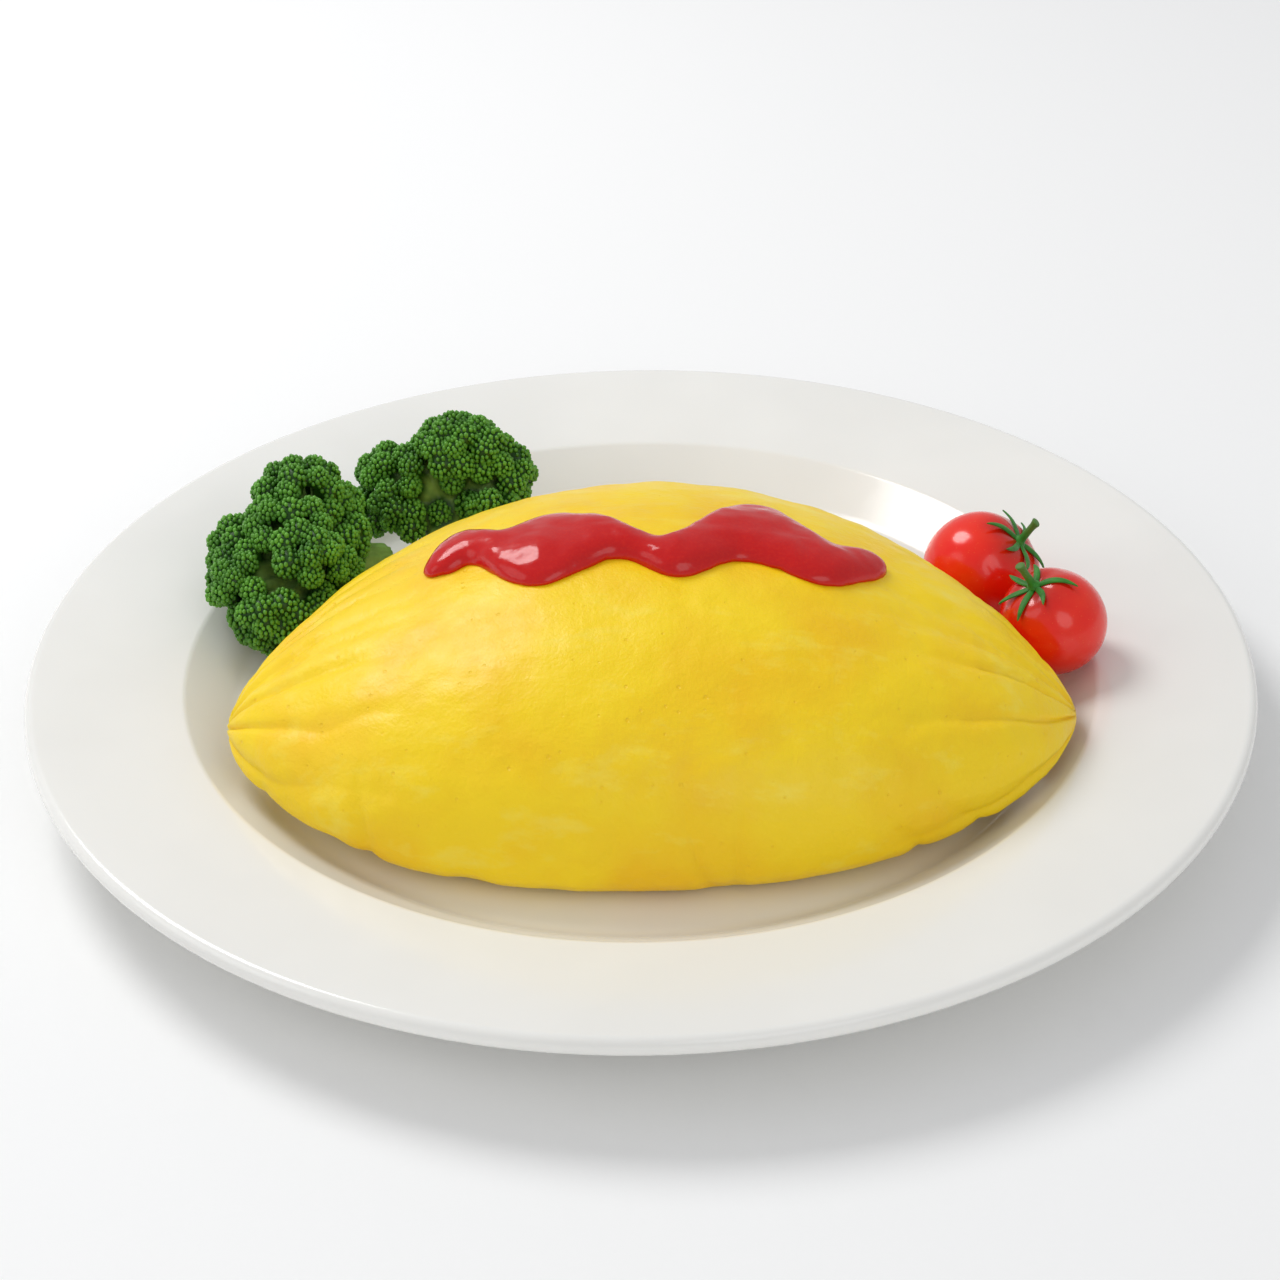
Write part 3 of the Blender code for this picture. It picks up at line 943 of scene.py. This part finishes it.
def build_calyx(node, settings, material, lean, seed):
    """The sepals and the stub of the stem."""
    chance = random.Random(seed)
    centre, axis = tomato_axis(node)
    skin = surface_tree(bpy.data.objects[node + "_fruit"])
    turn = Vector((0, 0, 1)).rotation_difference(axis)
    base = skin.ray_cast(centre + axis * FAR, -axis)[0]
    stub = stem_stub(base + axis * 0.2 * MM, axis, lean, settings)
    pieces = [stub]
    for i in range(SEPALS):
        around = math.tau * i / SEPALS + chance.uniform(-0.22, 0.22)
        size, lift = chance.uniform(0.8, 1.08), chance.uniform(0.15, 1)
        pieces.append(sepal(skin, centre, turn, around, size, lift, settings))
    calyx = join(pieces, node + "_leaves")
    stalk = calyx.data.attributes.new("stalk", "FLOAT", "POINT")
    for vertex, mark in zip(calyx.data.vertices, stalk.data):
        off = vertex.co - base
        mark.value = smoothstep(1 * MM, 3.5 * MM, off.dot(axis) - 0.3 * off.length)
    outward(calyx)
    return finish_piece(calyx, material, "calyx", node + "_calyx")


# ---------------------------------------------------------------------------------------------------- stage


def soft_light(name, place, aim, size, watts):
    light = bpy.data.lights.new(name, "AREA")
    light.shape = "DISK"
    light.size = size
    light.energy = watts
    made = bpy.data.objects.new(name, light)
    made.location = place
    made.rotation_euler = (Vector(aim) - Vector(place)).to_track_quat("-Z", "Y").to_euler()
    bpy.context.scene.collection.objects.link(made)


def build_stage(settings):
    """A pale table, three soft lights, a pale room and the camera."""
    bpy.ops.mesh.primitive_circle_add(vertices=96, radius=3, fill_type="NGON")
    table = named_active("table_top")
    table.data.materials.append(table_top(settings))
    soft_light("key", (-0.55, 0.5, 0.95), (0, -0.02, 0.02), 0.55, 6.6)
    soft_light("front_fill", (0.5, -1.1, 0.75), (0, 0, 0.03), 0.9, 2.9)
    soft_light("side_fill", (-1.1, -0.3, 0.6), (0, 0, 0.03), 0.8, 1.6)
    world = bpy.data.worlds.new("pale_room")
    world.use_nodes = True
    background = world.node_tree.nodes["Background"]
    background.inputs["Color"].default_value = (*linear("#fbfcff"), 1.0)
    background.inputs["Strength"].default_value = 0.53
    bpy.context.scene.world = world
    bpy.context.scene.view_settings.view_transform = "Standard"
    build_camera(settings)


def build_camera(settings):
    """Looks down at the middle of the plate's rim from the diner's side."""
    tilt, roll = settings.elevation, settings.roll
    back = Vector((0, -math.cos(tilt), math.sin(tilt)))
    right, up = Vector((1, 0, 0)), Vector((0, math.sin(tilt), math.cos(tilt)))
    across = right * math.cos(roll) - up * math.sin(roll)
    upright = right * math.sin(roll) + up * math.cos(roll)
    camera = bpy.data.objects.new("camera", bpy.data.cameras.new("camera"))
    camera.data.lens = settings.lens
    camera.data.sensor_width = 36
    turn = Matrix((across, upright, back)).transposed().to_4x4()
    place = Vector((0, 0, RIM_HEIGHT)) + back * settings.distance
    camera.matrix_world = Matrix.Translation(place) @ turn
    bpy.context.scene.collection.objects.link(camera)
    bpy.context.scene.camera = camera


# ------------------------------------------------------------------------------------------------ operators


def settings_of(context):
    return context.scene.omurice


class OMURICE_OT_stage(bpy.types.Operator):
    """Sets up the table, the light and the camera"""

    bl_idname = "omurice.stage"
    bl_label = "Stage"

    def execute(self, context):
        build_stage(settings_of(context).stage)
        return {"FINISHED"}


class OMURICE_OT_plate(bpy.types.Operator):
    """Spins the glazed porcelain plate"""

    bl_idname = "omurice.plate"
    bl_label = "Plate"

    def execute(self, context):
        build_plate(settings_of(context).plate)
        return {"FINISHED"}


class OMURICE_OT_omelette(bpy.types.Operator):
    """Shapes the skin of the omelette"""

    bl_idname = "omurice.omelette"
    bl_label = "Omelette"

    def execute(self, context):
        build_omelette(settings_of(context).omelette)
        return {"FINISHED"}


class OMURICE_OT_ketchup(bpy.types.Operator):
    """Lays the ketchup on the omelette, which has to be there"""

    bl_idname = "omurice.ketchup"
    bl_label = "Ketchup"

    def execute(self, context):
        build_ketchup(settings_of(context).ketchup)
        return {"FINISHED"}


# A floret is its node, the cut end of its stalk and the fork of its branches in mm, and its seed.
FLORETS = (
    ("broccoli_left", (-61, 47, 13.8), (-74, 35.5, 20), 11),
    ("broccoli_right", (-46, 48, 12.5), (-46, 58, 23), 12),
)
# A tomato is its node, how far its stem leans and its seed.
TOMATOES = (("tomato_back", -0.25, 3), ("tomato_front", -0.1, 8))


class OMURICE_OT_broccoli(bpy.types.Operator):
    """Grows both broccoli florets"""

    bl_idname = "omurice.broccoli"
    bl_label = "Broccoli"

    def execute(self, context):
        settings = settings_of(context).broccoli
        buds, stem = broccoli_buds(settings), broccoli_stem(settings)
        for node, foot, fork, seed in FLORETS:
            foot, fork = Vector(foot) * MM, Vector(fork) * MM
            solid = copy_of(node, node + "_solid")
            heads = heads_of(solid, foot, settings, seed)
            bpy.data.objects.remove(solid)
            build_stem(node + "_stem", heads, foot, fork, settings, stem, node)
            build_buds(node + "_buds", buds_of(heads, settings, seed), settings, buds)
        return {"FINISHED"}


class OMURICE_OT_tomatoes(bpy.types.Operator):
    """Shapes both tomatoes and their calyxes"""

    bl_idname = "omurice.tomatoes"
    bl_label = "Tomatoes"

    def execute(self, context):
        settings = settings_of(context).tomato
        leaf = tomato_leaf(settings)
        for node, lean, seed in TOMATOES:
            build_tomato(node, settings)
            build_calyx(node, settings, leaf, lean, seed)
        return {"FINISHED"}


class OMURICE_PT_panel(bpy.types.Panel):
    """Lists the builders"""

    bl_label = "Omurice"
    bl_idname = "OMURICE_PT_panel"
    bl_space_type = "VIEW_3D"
    bl_region_type = "UI"
    bl_category = "Omurice"

    def draw(self, context):
        for operator in OPERATORS:
            self.layout.operator(operator.bl_idname)


GROUPS = (
    PlateSettings,
    OmeletteSettings,
    KetchupSettings,
    BroccoliSettings,
    TomatoSettings,
    StageSettings,
    OmuriceSettings,
)
OPERATORS = (
    OMURICE_OT_stage,
    OMURICE_OT_plate,
    OMURICE_OT_omelette,
    OMURICE_OT_ketchup,
    OMURICE_OT_broccoli,
    OMURICE_OT_tomatoes,
)


def register():
    for kind in (*GROUPS, *OPERATORS, OMURICE_PT_panel):
        bpy.utils.register_class(kind)
    bpy.types.Scene.omurice = PointerProperty(type=OmuriceSettings)


def unregister():
    del bpy.types.Scene.omurice
    for kind in reversed((*GROUPS, *OPERATORS, OMURICE_PT_panel)):
        bpy.utils.unregister_class(kind)


def main():
    register()
    bpy.ops.omurice.stage()
    bpy.ops.omurice.plate()
    bpy.ops.omurice.omelette()
    bpy.ops.omurice.ketchup()
    bpy.ops.omurice.broccoli()
    bpy.ops.omurice.tomatoes()


if __name__ == "__main__":
    main()
